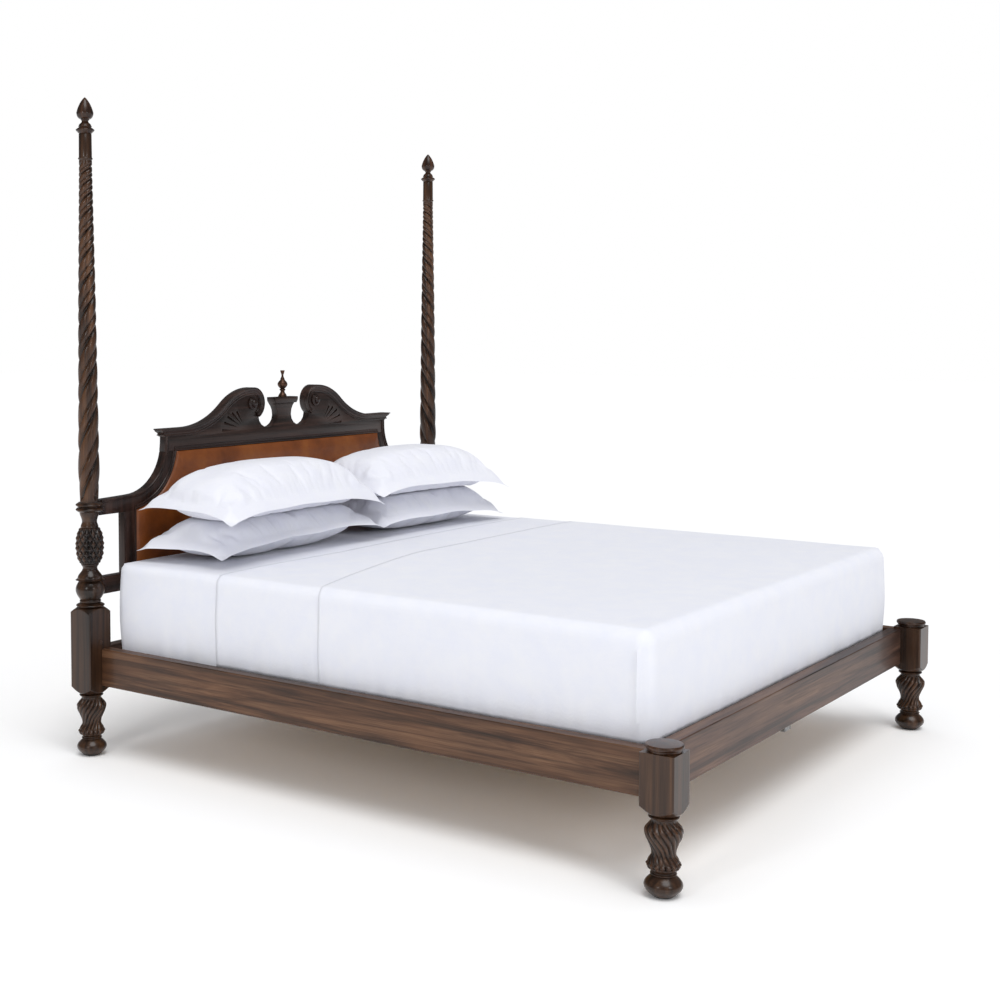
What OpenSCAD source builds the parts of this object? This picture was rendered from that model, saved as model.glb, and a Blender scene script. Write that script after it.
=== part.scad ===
// King size bed with tall spiral head posts, short capped foot posts and an
// upholstered swan-neck headboard, made up with a mattress, covers and pillows.
// Millimetres. The origin is on the floor under the middle of the bed.
// +X is right as seen from the foot end, +Y points to the head end, +Z is up.

/* [Bed] */
// Distance between the post axes, across the bed
span_x = 2050; // [2040:1:2080]
// Distance between the post axes, along the bed
span_y = 2170; // [2160:1:2200]
// Height of the tips of the head posts
post_h = 2268; // [2200:1:2400]

/* [Posts] */
// Side of the square block on each post
block_w = 98; // [97:1:100]
// Bottom of the square blocks
block_z0 = 243; // [240:1:244]
// Top of the head posts' square blocks
head_block_z1 = 513; // [500:1:514]
// Top of the foot posts' square blocks
foot_block_z1 = 382; // [378:1:384]
// Largest radius of the bun feet and of the foot post caps
bun_r = 51; // [49:0.5:52]
// Bottom of the spiral shafts
shaft_z0 = 882; // [882:1:884]
// Radial clearance of a loose pin or tenon in its bore
pin_clear = 0.05; // [0.03:0.01:0.08]

/* [Rails] */
// Bottom of the rails
rail_z0 = 245; // [245:1:248]
// Top of the rails
rail_z1 = 374; // [370:1:376]
// Thickness of the side rails
side_rail_t = 43; // [38:1:44]
// Thickness of the foot rail
foot_rail_t = 45; // [40:1:46]
// Set-back of the side rails from the outer faces of the blocks
side_rail_inset = 55; // [54:1:55]
// Set-back of the foot rail from the outer faces of the blocks
foot_rail_inset = 72; // [68:1:73]

/* [Slats and support] */
// Number of slats
slat_n = 13; // [10:1:14]
// Width of a slat
slat_w = 85; // [70:1:95]
// Thickness of a slat
slat_t = 18; // [16:1:20]

/* [Headboard] */
// Thickness of the headboard's boards
board_t = 32; // [28:1:34]
// Height of the leather panel's top edge
panel_z1 = 1034; // [1030:1:1036]
// Height of the leather panel's bottom edge
panel_z0 = 617; // [615:1:620]
// Height of the cornice's flat ends
cornice_z = 1118; // [1116:1:1120]

/* [Bedding] */
// Mattress width, with its cover
mattress_w = 1922; // [1900:1:1924]
// Mattress length, with its cover
mattress_l = 2028; // [2000:1:2030]
// Mattress thickness
mattress_t = 300; // [280:1:300]
// Thickness of the low box springs
box_spring_t = 80; // [75:1:80]

/* [Hidden] */
$fn = 64;

wood = "#3a2a22";
wood_dark = "#2a201c";
leather = "#7a4420";
linen = "#eeeef4";
steel = "#9a9a9a";
pine = "#c8a878";

post_x = span_x / 2;
post_y = span_y / 2;
block_h = block_w / 2;
side_out = post_x + block_h - side_rail_inset;
side_in = side_out - side_rail_t;
foot_out = post_y + block_h - foot_rail_inset;
foot_in = foot_out - foot_rail_t;
block_in_x = post_x - block_h;
block_in_y = post_y - block_h;
board_y0 = post_y - board_t / 2;
board_y1 = post_y + board_t / 2;
glide_t = 4;
eps = 0.01;

// ---- outline helpers: points are [radius or x, z] ----
function bead(z0, z1, r0, r1) =
    [for (i = [0:8]) [r0 + (r1 - r0) * sin(22.5 * i), z0 + (z1 - z0) * i / 8]];
function cove(z0, z1, r0, r1) =
    [for (i = [0:6]) [r0 + (r1 - r0) * (1 - cos(30 * i)) / 2, z0 + (z1 - z0) * i / 6]];
function arc(cx, cz, r, a0, a1, n = 12) =
    [for (i = [0:n]) let (a = a0 + (a1 - a0) * i / n) [cx + r * cos(a), cz + r * sin(a)]];

// A right-half outline followed by its mirror image
function both_sides(half) = concat(half, [for (i = [len(half) - 1:-1:0]) [-half[i][0], half[i][1]]]);

module turned(outline) {
    n = len(outline);
    rotate_extrude()
        polygon(concat([[0, outline[0][1]]], outline, [[0, outline[n - 1][1]]]));
}

// ---- posts ----
leg_outline = concat(
    bead(glide_t, 56, 32, bun_r), bead(57, 64, 31, 35), cove(65, 79, 31, 44),
    bead(80, 90, 43, 46.5), cove(91, 113, 42, 32.5), cove(114, 173, 32.5, 51),
    cove(174, 204, 51, 33), bead(205, 218, 33, 41), [[40, 219], [40, 225]]);
head_turning_outline = concat(
    [[39, head_block_z1 - 2]], bead(head_block_z1 + 4, 531, 39, 49), bead(532, 545, 32, 36),
    bead(546, 612, 36, 50), [[50, 613], [43, 618]], cove(619, 654, 43, 25),
    cove(655, 668, 25, 31), bead(669, 794, 31, 49.5), cove(795, 815, 31, 26),
    cove(816, 848, 26, 34), bead(849, 865, 38, 47), bead(866, 881, 38, 47), [[38, shaft_z0]]);

// Square block with its corners turned away at the bottom and the top
module block(z1) {
    corner_r = block_h * sqrt(2) + 1;
    intersection() {
        translate([-block_h, -block_h, 219]) cube([block_w, block_w, z1 + 4 - 219]);
        turned([[44, 219], [corner_r, block_z0], [corner_r, z1 - 14], [46, z1 + 4]]);
    }
}

// Every place where a rail end meets a block: [x, y, angle], the rail's side
// being local -X and the post's side local +X
side_joint_x = (side_out + side_in) / 2;
foot_rail_y = -(foot_out + foot_in) / 2;
foot_joint_y = -(foot_out + block_in_y) / 2;
rail_joints = [
    for (s = [-1, 1], e = [-1, 1]) [s * side_joint_x, e * block_in_y, e * 90],
    for (s = [-1, 1]) [s * block_in_x, foot_joint_y, 90 - s * 90],
    for (s = [-1, 1]) [s * block_in_x, post_y, 90 - s * 90],
];
plate_t = 3;
plate_w = 20;
plate_z0 = rail_z0 + 10;
plate_h = rail_z1 - rail_z0 - 20;
hook_z = [plate_z0 + 18, plate_z0 + plate_h - 40];
screw_r = 2;
screw_h = plate_h / 2 - 8;

module at_rail_joints() {
    for (j = rail_joints)
        translate([j[0], j[1], 0]) rotate([0, 0, j[2]]) children();
}
module hook_plate() {
    difference() {
        translate([-plate_t, -plate_w / 2, plate_z0]) cube([plate_t, plate_w, plate_h]);
        plate_screw_pair(-1);
    }
    for (z = hook_z) translate([0, -1.5, z]) cube([12, 3, 20]);
}
module slot_plate() {
    difference() {
        translate([0, -plate_w / 2, plate_z0]) cube([plate_t, plate_w, plate_h]);
        for (z = hook_z) translate([-1, -2, z - 1]) cube([plate_t + 2, 4, 22]);
        plate_screw_pair(1);
    }
}
// Two screws into the rail, side -1, or nearer together into the post, side 1
module plate_screw_pair(side) {
    h = side < 0 ? screw_h : screw_h - 5;
    for (m = [-1, 1]) translate([0, 0, plate_z0 + plate_h / 2 + m * h]) rotate([0, side * 90, 0])
        cylinder(h = side < 0 ? 25 : 16, r = screw_r);
}
module rail_pocket() {
    translate([-plate_t, -plate_w / 2, plate_z0]) cube([plate_t + 1, plate_w, plate_h]);
    plate_screw_pair(-1);
}
module post_pocket() {
    translate([-1, -plate_w / 2, plate_z0]) cube([plate_t + 1, plate_w, plate_h]);
    for (z = hook_z) translate([0, -3, z - 2]) cube([14, 6, 24]);
    plate_screw_pair(1);
}

stud_r = 6;
stud_len = 120;
tenon_z0 = panel_z0 - 50;
tenon_z1 = panel_z0 - 10;
plug_z = 398;
plug_r = 7;
plug_len = 12;

module bolt_plug_places() {
    for (s = [-1, 1]) translate([s * post_x, post_y - block_h, plug_z]) rotate([90, 0, 0]) children();
}
module head_post(side) {
    color(wood) difference() {
        translate([side * post_x, post_y, 0]) union() {
            turned(leg_outline);
            block(head_block_z1);
            turned(head_turning_outline);
        }
        at_rail_joints() post_pocket();
        translate([side * post_x, post_y, shaft_z0 - stud_len / 2]) cylinder(h = stud_len, r = stud_r);
        bolt_plug_places() translate([0, 0, -plug_len]) cylinder(h = plug_len + 1, r = plug_r);
        lower_rail_tenons();
    }
}

neck_r = 18.8;
finial_z0 = post_h - 124;
shaft_outline = concat(
    cove(shaft_z0, 993, 30.6, 35.8), [[29, 1581], [21.4, finial_z0 - 94]], [[19, finial_z0 - 89]],
    bead(finial_z0 - 88, finial_z0 - 80, 19, 24.3), [[neck_r, finial_z0 - 79], [neck_r, finial_z0]]);
pin_r = 5;
pin_lift = 32;
pin_top = finial_z0 + 26;
module head_shaft(side) {
    color(wood) translate([side * post_x, post_y, 0]) difference() {
        turned(shaft_outline);
        translate([0, 0, shaft_z0 - eps]) cylinder(h = stud_len / 2 + eps, r = stud_r);
        translate([0, 0, finial_z0 - pin_lift - 3]) cylinder(h = pin_lift + 4, r = pin_r + pin_clear);
    }
}
module shaft_stud(side) {
    color(steel) translate([side * post_x, post_y, shaft_z0 - stud_len / 2]) cylinder(h = stud_len, r = stud_r);
}
function onion(z0, z1, r) =
    [for (i = [0:10]) let (t = i / 10) [max(0.6, r * (1 - pow(t, 1.25)) * (1 - 0.22 * sin(180 * t))), z0 + (z1 - z0) * t]];
finial_outline = concat(
    [[neck_r, finial_z0]], cove(finial_z0 + 1, finial_z0 + 8, neck_r, 27),
    [[31.5, finial_z0 + 12], [31.5, finial_z0 + 15]], cove(finial_z0 + 16, finial_z0 + 25, 25, 17),
    bead(finial_z0 + 26, finial_z0 + 35, 17, 20.5), cove(finial_z0 + 36, finial_z0 + 42, 16, 11.3),
    cove(finial_z0 + 43, finial_z0 + 55, 11.3, 20.5), [[25, finial_z0 + 61], [28, finial_z0 + 67]],
    onion(finial_z0 + 72, post_h, 28.7));
module post_finial(side) {
    color(wood) translate([side * post_x, post_y, 0]) difference() {
        turned(finial_outline);
        translate([0, 0, finial_z0 - 1]) cylinder(h = pin_top - finial_z0 + 1, r = pin_r);
    }
}
module finial_pin(side) {
    color(steel) translate([side * post_x, post_y, finial_z0 - pin_lift])
        cylinder(h = pin_top - finial_z0 + pin_lift, r = pin_r);
}

cap_z1 = 402;
cap_tenon_r = 15;
cap_tenon_len = 40;
module foot_post(side) {
    color(wood) difference() {
        translate([side * post_x, -post_y, 0]) {
            turned(leg_outline);
            intersection() {
                block(foot_block_z1 + 14);
                translate([-60, -60, 0]) cube([120, 120, foot_block_z1]);
            }
        }
        at_rail_joints() post_pocket();
        translate([side * post_x, -post_y, foot_block_z1 - cap_tenon_len - 3])
            cylinder(h = cap_tenon_len + 4, r = cap_tenon_r + pin_clear);
    }
}
module foot_cap(side) {
    color(wood) translate([side * post_x, -post_y, 0]) {
        turned(concat([[44, foot_block_z1], [46, foot_block_z1 + 2], [46, foot_block_z1 + 7]],
            [[48, foot_block_z1 + 8]], bead(foot_block_z1 + 9, cap_z1 - 1, 49, bun_r), [[48, cap_z1]]));
        translate([0, 0, foot_block_z1 - cap_tenon_len]) cylinder(h = cap_tenon_len + 1, r = cap_tenon_r);
    }
}

// ---- rails ----
// A board along Y whose long edges have small chamfers
module eased_board(t, h, l) {
    c = 2.5;
    rotate([90, 0, 0]) translate([0, 0, -l / 2]) linear_extrude(l)
        polygon([[-t / 2 + c, 0], [t / 2 - c, 0], [t / 2, c], [t / 2, h - c],
            [t / 2 - c, h], [-t / 2 + c, h], [-t / 2, h - c], [-t / 2, c]]);
}
module side_rail(side) {
    color(wood) difference() {
        translate([side * side_joint_x, 0, rail_z0]) eased_board(side_rail_t, rail_z1 - rail_z0, 2 * block_in_y);
        at_rail_joints() rail_pocket();
        cleat_screw_places(side);
    }
}
module foot_rail() {
    color(wood) difference() {
        translate([0, foot_rail_y, rail_z0]) rotate([0, 0, 90])
            eased_board(foot_rail_t, rail_z1 - rail_z0, 2 * block_in_x);
        at_rail_joints() rail_pocket();
    }
}
head_rail_t = 40;
module head_rail() {
    color(wood) difference() {
        translate([0, post_y, rail_z0]) rotate([0, 0, 90])
            eased_board(head_rail_t, rail_z1 - rail_z0, 2 * block_in_x);
        at_rail_joints() rail_pocket();
    }
}
module hook_plates() { color(steel) at_rail_joints() hook_plate(); }
module slot_plates() { color(steel) at_rail_joints() slot_plate(); }
module plate_screws() { color(steel) at_rail_joints() { plate_screw_pair(-1); plate_screw_pair(1); } }
module bolt_plugs() {
    color(wood_dark) bolt_plug_places() translate([0, 0, -plug_len])
        turned([[plug_r, 0], [plug_r, plug_len + 2], [plug_r - 2, plug_len + 4]]);
}

// ---- slats and centre support ----
cleat_w = 28;
cleat_z1 = 270;
cleat_z0 = rail_z0 + 1;
cleat_len = 1940;
cleat_screw_n = 5;
module cleat_screw_places(side) {
    for (i = [0:cleat_screw_n - 1])
        translate([side * (side_in - cleat_w), -cleat_len / 2 + cleat_len * (i + 0.5) / cleat_screw_n,
            (cleat_z0 + cleat_z1) / 2])
            rotate([0, side * 90, 0]) cylinder(h = cleat_w + 25, r = 2.5);
}
module side_cleat(side) {
    color(pine) difference() {
        translate([side * (side_in - cleat_w / 2), 0, (cleat_z0 + cleat_z1) / 2])
            cube([cleat_w, cleat_len, cleat_z1 - cleat_z0], center = true);
        cleat_screw_places(side);
    }
}
module cleat_screws() { color(steel) for (s = [-1, 1]) cleat_screw_places(s); }

slat_len = 2 * side_in - 6;
slat_y0 = -950;
slat_y1 = 960;
module slats() {
    color(pine) for (i = [0:slat_n - 1])
        translate([0, slat_y0 + (slat_y1 - slat_y0) * i / (slat_n - 1), cleat_z1 + slat_t / 2])
            cube([slat_len, slat_w, slat_t], center = true);
}

beam_w = 44;
beam_z0 = 205;
bracket_t = 3;
bracket_len = 45;
beam_y0 = -foot_in + bracket_t;
beam_y1 = post_y - head_rail_t / 2 - bracket_t;
centre_leg_y = 380;
leg_bolt_r = 4;
module leg_bolt_places() {
    for (e = [-1, 1]) translate([0, e * centre_leg_y, beam_z0 - 40]) cylinder(h = 75, r = leg_bolt_r);
}
module centre_beam() {
    color(pine) difference() {
        translate([-beam_w / 2, beam_y0, beam_z0]) cube([beam_w, beam_y1 - beam_y0, cleat_z1 - beam_z0]);
        leg_bolt_places();
    }
}
module beam_bracket() {
    difference() {
        translate([-beam_w / 2 - bracket_t, 0, beam_z0 - bracket_t])
            cube([beam_w + 2 * bracket_t, bracket_len, cleat_z1 - beam_z0 - 2]);
        translate([-beam_w / 2, bracket_t, beam_z0]) cube([beam_w, bracket_len, 100]);
    }
}
module beam_brackets() {
    color(steel) {
        translate([0, beam_y0 - bracket_t, 0]) beam_bracket();
        translate([0, beam_y1 + bracket_t, 0]) mirror([0, 1, 0]) beam_bracket();
    }
}
module centre_leg(end) {
    color(pine) difference() {
        translate([-beam_w / 2, end * centre_leg_y - beam_w / 2, glide_t]) cube([beam_w, beam_w, beam_z0 - glide_t]);
        leg_bolt_places();
    }
}
module leg_bolts() { color(steel) leg_bolt_places(); }
module glides() {
    color("black") {
        for (s = [-1, 1], e = [-1, 1]) translate([s * post_x, e * post_y, 0]) cylinder(h = glide_t, r = 26);
        for (e = [-1, 1]) translate([0, e * centre_leg_y, 0]) cylinder(h = glide_t, r = 16);
    }
}

// ---- headboard: outlines are drawn in X and Z for the right half ----
stile_x0 = 821;
stile_x1 = 875;
shoulder_cx = 844;
shoulder_cz = 1070;
shoulder_r_in = 178;
shoulder_r_out = 232;
wing_z0 = 834;
wing_z1 = 886;
board_end_x = shoulder_cx - shoulder_r_in;
function circle_x(r, z) = shoulder_cx - sqrt(r * r - pow(z - shoulder_cz, 2));
function angle_at_z(r, z) = 180 + asin((shoulder_cz - z) / r);

// Puts a right-half outline (x, z) upright between two depths, on either side
module board(side, y0, y1) {
    mirror([side < 0 ? 1 : 0, 0, 0]) translate([0, y1, 0]) rotate([90, 0, 0])
        linear_extrude(y1 - y0) children();
}
module lower_rail_tenons() {
    for (s = [-1, 1]) translate([s * (post_x - 36), post_y, (tenon_z0 + tenon_z1) / 2])
        cube([44, 14, tenon_z1 - tenon_z0], center = true);
}
module headboard_lower_rail() {
    color(wood_dark) {
        difference() {
            translate([-post_x + 40, board_y0, panel_z0 - 60]) cube([2 * post_x - 80, board_t, 60]);
            for (s = [-1, 1]) translate([s * post_x, post_y, 0]) turned(head_turning_outline);
        }
        intersection() {
            lower_rail_tenons();
            for (s = [-1, 1]) translate([s * post_x, post_y, 0]) turned(head_turning_outline);
        }
    }
}
module headboard_stile(side) {
    color(wood_dark) board(side, board_y0, board_y1)
        translate([stile_x0, panel_z0]) square([stile_x1 - stile_x0, wing_z0 - panel_z0]);
}
inner_low_a = 270 - asin((shoulder_cx - stile_x0) / shoulder_r_out);
shoulder_outline = concat(
    arc(shoulder_cx, shoulder_cz, shoulder_r_out, inner_low_a, angle_at_z(shoulder_r_out, panel_z1)),
    arc(shoulder_cx, shoulder_cz, shoulder_r_in, angle_at_z(shoulder_r_in, panel_z1), 270),
    [[post_x - 5, wing_z1], [post_x - 5, wing_z0], [stile_x0, wing_z0]]);
module headboard_shoulder(side) {
    color(wood_dark) difference() {
        board(side, board_y0, board_y1) polygon(shoulder_outline);
        translate([side * post_x, post_y, 0]) {
            turned(head_turning_outline);
            turned(shaft_outline);
        }
    }
}

// Top of the pediment: flat end, rising curve, falling curve and scroll
scroll_x = 193;
scroll_r = 62;
rise_a = 40;
rise_x = 567;
rise_r = 340;
crest_x = rise_x - rise_r * sin(rise_a);
crest_z = cornice_z + rise_r * (1 - cos(rise_a));
crest_r = (crest_x - scroll_x) / sin(rise_a);
scroll_z = crest_z - crest_r * cos(rise_a) + crest_r - scroll_r;
moulding_h = 30;
key_x = 98;
key_half = 58;
key_z = 1140;
key_drop = 46;
neck_half = 40;
plinth_half = 70;
plinth_z0 = 1187;
plinth_z1 = 1211;
// The top edge set in by d, from the flat end to the top of the scroll
function top_edge(x_end, d) = concat(
    [[x_end, cornice_z - d]],
    arc(rise_x, cornice_z + rise_r, rise_r + d, 270, 270 - rise_a),
    arc(scroll_x, scroll_z + scroll_r - crest_r, crest_r - d, 90 - rise_a, 90, 8));
key_a = acos((scroll_x - key_x - key_half) / scroll_r);
pediment_half = concat(
    [[circle_x(shoulder_r_in, panel_z1), panel_z1], [board_end_x, shoulder_cz]],
    top_edge(board_end_x, 0),
    arc(scroll_x, scroll_z, scroll_r, 100, 180 + key_a, 10),
    [for (i = [0:8]) [key_x + key_half * cos(22.5 * i), key_z - key_drop * sin(22.5 * i)]],
    [[neck_half + 3, 1160], [neck_half + 11, 1175], [plinth_half - 8, plinth_z0]]);
module pediment_board() {
    color(wood_dark) board(1, board_y0, board_y1) polygon(both_sides(pediment_half));
}
cornice_t = 12;
ear_x = board_end_x + 32;
scroll_ring = 22;
cornice_outline = concat(
    top_edge(board_end_x, 0), arc(scroll_x, scroll_z, scroll_r, 100, 230, 10),
    arc(scroll_x, scroll_z, scroll_r - scroll_ring, 230, 100, 10),
    [for (i = [len(top_edge(0, moulding_h)) - 1:-1:0]) top_edge(board_end_x, moulding_h)[i]]);
ear_outline = [[board_end_x, cornice_z - moulding_h], [board_end_x + 6, cornice_z - moulding_h],
    [board_end_x + 14, cornice_z - 22], [ear_x - 6, cornice_z - 12], [ear_x, cornice_z - 4],
    [ear_x, cornice_z], [board_end_x, cornice_z]];
module cornice(side) {
    color(wood_dark) {
        board(side, board_y0 - cornice_t, board_y0) polygon(cornice_outline);
        board(side, board_y0 - cornice_t, board_y1) polygon(ear_outline);
    }
}
module rosette(side) {
    color(wood_dark) translate([side * scroll_x, board_y0, scroll_z]) rotate([90, 0, 0])
        turned(concat([[24, 0], [24, 6]], cove(7, 12, 20, 14), [[15, 14], [13, 19], [8, 22], [3, 23]]));
}
module plinth_cap() {
    h = plinth_half;
    color(wood_dark) board(1, board_y0 - cornice_t, board_y1)
        polygon([[-h + 8, plinth_z0], [h - 8, plinth_z0], [h - 2, plinth_z0 + 8], [h, plinth_z0 + 14],
            [h, plinth_z1], [-h, plinth_z1], [-h, plinth_z0 + 14], [-h + 2, plinth_z0 + 8]]);
}
module plinth_finial() {
    z = plinth_z1;
    color("#4a3a30") translate([0, post_y - cornice_t / 2, 0])
        turned(concat([[19, z], [18, z + 4]], cove(z + 5, z + 22, 16, 8), bead(z + 23, z + 32, 8, 12),
            bead(z + 33, z + 66, 10, 20), cove(z + 67, z + 84, 9, 4), cove(z + 85, z + 103, 4, 8.5), [[8.5, z + 105]]));
}

// ---- upholstered panel ----
function panel_half(inset) = concat([[stile_x0 - inset, panel_z0 + inset]],
    arc(shoulder_cx, shoulder_cz, shoulder_r_out + inset, inner_low_a,
        angle_at_z(shoulder_r_out + inset, panel_z1 - inset)));
module panel_shape(inset) { polygon(both_sides(panel_half(inset))); }
pad_front = board_y0 - 20;
leather_t = 2;
foam_back = post_y + 4;
backing_t = 9;
module upright(y0, y1) { translate([0, y1, 0]) rotate([90, 0, 0]) linear_extrude(y1 - y0) children(); }
module leather_panel() {
    color(leather) difference() {
        upright(pad_front, foam_back) panel_shape(0.5);
        upright(pad_front + leather_t, foam_back + 1) panel_shape(0.5 + leather_t);
    }
}
module panel_foam() {
    color("khaki") upright(pad_front + leather_t, foam_back) panel_shape(0.5 + leather_t);
}
module panel_backing() { color(pine) upright(foam_back, foam_back + backing_t) panel_shape(0.5); }

// ---- mattress, covers and pillows ----
bed_y0 = -1005;
spring_z0 = cleat_z1 + slat_t;
spring_z1 = spring_z0 + box_spring_t;
mattress_z0 = spring_z1 + 0.2;
mattress_z1 = mattress_z0 + mattress_t;
corner_r = 75;
sheet_t = 2;
coverlet_t = 3;
// A block with round upright corners, from y0 to y1 and z0 to z1
module soft_block(x0, x1, y0, y1, z0, z1, r) {
    translate([0, 0, z0]) linear_extrude(z1 - z0) union() {
        translate([x0 + r, y0]) square([x1 - x0 - 2 * r, y1 - y0]);
        translate([x0, y0 + r]) square([x1 - x0, y1 - y0 - 2 * r]);
        for (x = [x0 + r, x1 - r], y = [y0 + r, y1 - r]) translate([x, y]) circle(r);
    }
}
module box_spring(side) {
    w = mattress_w / 2;
    color(linen) mirror([side < 0 ? 1 : 0, 0, 0])
        soft_block(1, w, bed_y0 - 2, bed_y0 + mattress_l, spring_z0, spring_z1, 40);
}
module mattress_body(grow) {
    w = mattress_w / 2 + grow;
    soft_block(-w, w, bed_y0 - grow, bed_y0 + mattress_l + grow, mattress_z0, mattress_z1 + grow, corner_r + grow);
}
module mattress() { color(linen) mattress_body(0); }
// A cover of thickness t over the layers inside it, from the foot end up to y1
module cover(inner, t, y1, z0) {
    difference() {
        intersection() {
            mattress_body(inner + t);
            translate([-1200, -1200, z0]) cube([2400, 1200 + y1, 600]);
        }
        mattress_body(inner);
    }
}
sheet_y1 = 542;
coverlet_y1 = 190;
cover_z0 = mattress_z0 + 2;
module top_sheet() { color(linen) cover(0, sheet_t, sheet_y1, cover_z0); }
module coverlet() { color("white") cover(sheet_t, coverlet_t, coverlet_y1, cover_z0); }

pillow_w = 880;
pillow_d = 460;
pillow_t = 152;
pillow_gap = 0.3;
pillow_lower_z = mattress_z1 + pillow_gap;
pillow_upper_z = pillow_lower_z + pillow_t + pillow_gap;
module plate(w, d, z, h) {
    r = 45;
    for (x = [-w / 2 + r, w / 2 - r], y = [-d / 2 + r, d / 2 - r]) translate([x, y, z]) cylinder(h = h, r = r, $fn = 20);
}
module pillow(x, y, z) {
    color("white") translate([x, y, z]) hull() {
        plate(pillow_w - 170, pillow_d - 150, 0, 1);
        plate(pillow_w - 40, pillow_d - 36, 24, 12);
        plate(pillow_w - 130, pillow_d - 110, 105, 10);
        plate(pillow_w - 320, pillow_d - 240, pillow_t - 1, 1);
    }
}

head_post(-1);  // head_post_left
head_post(1);  // head_post_right
head_shaft(-1);  // head_shaft_left
head_shaft(1);  // head_shaft_right
post_finial(-1);  // post_finial_left
post_finial(1);  // post_finial_right
finial_pin(-1);  // finial_pin_left
finial_pin(1);  // finial_pin_right
shaft_stud(-1);  // shaft_stud_left
shaft_stud(1);  // shaft_stud_right
foot_post(-1);  // foot_post_left
foot_post(1);  // foot_post_right
foot_cap(-1);  // foot_cap_left
foot_cap(1);  // foot_cap_right
side_rail(-1);  // side_rail_left
side_rail(1);  // side_rail_right
foot_rail();
head_rail();
side_cleat(-1);  // side_cleat_left
side_cleat(1);  // side_cleat_right
slats();
centre_beam();
beam_brackets();
centre_leg(-1);  // centre_leg_front
centre_leg(1);  // centre_leg_rear
leg_bolts();
glides();
hook_plates();
slot_plates();
plate_screws();
cleat_screws();
bolt_plugs();
headboard_lower_rail();
headboard_stile(-1);  // headboard_stile_left
headboard_stile(1);  // headboard_stile_right
headboard_shoulder(-1);  // headboard_shoulder_left
headboard_shoulder(1);  // headboard_shoulder_right
pediment_board();
cornice(-1);  // cornice_left
cornice(1);  // cornice_right
rosette(-1);  // rosette_left
rosette(1);  // rosette_right
plinth_cap();
plinth_finial();
leather_panel();
panel_foam();
panel_backing();
box_spring(-1);  // box_spring_left
box_spring(1);  // box_spring_right
mattress();
top_sheet();
coverlet();
pillow(-462, 800, pillow_lower_z);  // pillow_lower_left
pillow(430, 795, pillow_lower_z);  // pillow_lower_right
pillow(-455, 795, pillow_upper_z);  // pillow_upper_left
pillow(440, 788, pillow_upper_z);  // pillow_upper_right
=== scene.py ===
# %% [markdown]
# # A bed with two spiral head posts and a swan-neck headboard
# This lesson dresses a finished CAD model in carved wood, leather and linen.
# The CAD model stays the frame: every new piece takes its place from a CAD
# node's box and rides on that node's body, so it moves as the real part would.

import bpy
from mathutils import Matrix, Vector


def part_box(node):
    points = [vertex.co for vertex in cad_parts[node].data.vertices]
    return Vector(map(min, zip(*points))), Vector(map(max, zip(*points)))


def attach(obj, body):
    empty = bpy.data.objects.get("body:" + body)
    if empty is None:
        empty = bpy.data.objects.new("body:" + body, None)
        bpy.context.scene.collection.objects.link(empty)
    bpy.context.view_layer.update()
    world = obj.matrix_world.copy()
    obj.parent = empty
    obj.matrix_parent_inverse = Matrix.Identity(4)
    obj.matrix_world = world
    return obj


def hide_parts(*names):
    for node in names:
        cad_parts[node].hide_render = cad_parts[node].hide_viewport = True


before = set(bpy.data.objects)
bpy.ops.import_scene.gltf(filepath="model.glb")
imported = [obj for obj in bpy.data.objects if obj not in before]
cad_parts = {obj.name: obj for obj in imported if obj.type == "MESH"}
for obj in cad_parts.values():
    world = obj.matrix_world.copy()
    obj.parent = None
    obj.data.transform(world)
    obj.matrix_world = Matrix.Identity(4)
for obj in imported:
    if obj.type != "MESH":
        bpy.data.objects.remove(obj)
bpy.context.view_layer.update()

# %% Modules and units
import math
from math import pi, radians, sin, cos

import bmesh
import bpy
from mathutils import Matrix, Vector, noise

MM = 0.001
SIDES = {"left": -1, "right": 1}
scene = bpy.context.scene
scene.view_settings.view_transform = "Standard"
print("pieces in the frame:", len(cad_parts))

# %% [markdown]
# ## Camera
# A bed is seen best from a standing eye beyond one foot corner. A long lens
# keeps the posts upright, and a small lens shift frames the bed without
# tilting the camera. Building the camera's three axes from its turn, dip and
# lean is clearer than Euler angles, because each number has one meaning.

# %% Camera
eye = Vector((-4.512, -2.759, 1.464))
turn, dip, lean = 0.92154, 0.05234, -0.00154
forward = Vector((sin(turn) * cos(dip), cos(turn) * cos(dip), -sin(dip)))
level = Vector((cos(turn), -sin(turn), 0))
rise = level.cross(forward)
right = level * cos(lean) + rise * sin(lean)
up = rise * cos(lean) - level * sin(lean)

camera_data = bpy.data.cameras.new("studio_camera")
camera_data.sensor_width = 36
camera_data.lens = 53.37
camera_data.shift_x = 0.135
camera_data.shift_y = -0.0893
camera_data.clip_end = 60
camera = bpy.data.objects.new("studio_camera", camera_data)
scene.collection.objects.link(camera)
camera.matrix_world = Matrix.Translation(eye) @ Matrix((right, up, -forward)).transposed().to_4x4()
scene.camera = camera
print("camera lens", camera_data.lens, "mm")

# %% [markdown]
# ## Studio
# White bedding loses its folds in flat light and dark wood loses its carving.
# A soft sun from the left and front shapes them both and lights the floor
# evenly to the horizon. The surround is white where the camera looks at it, and
# dimmer where it lights the bed, so that the shaded sides stay readable. Two
# narrow window lamps give the lacquer its small bright highlights.

# %% Floor and lights
def area_light(name, place, aim, size, power, tint=(1, 1, 1)):
    data = bpy.data.lights.new(name, "AREA")
    data.shape = "RECTANGLE"
    data.size, data.size_y = size
    data.energy = power
    data.color = tint
    lamp = bpy.data.objects.new(name, data)
    scene.collection.objects.link(lamp)
    lamp.location = place
    lamp.rotation_euler = (Vector(aim) - Vector(place)).to_track_quat("-Z", "Y").to_euler()


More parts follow.
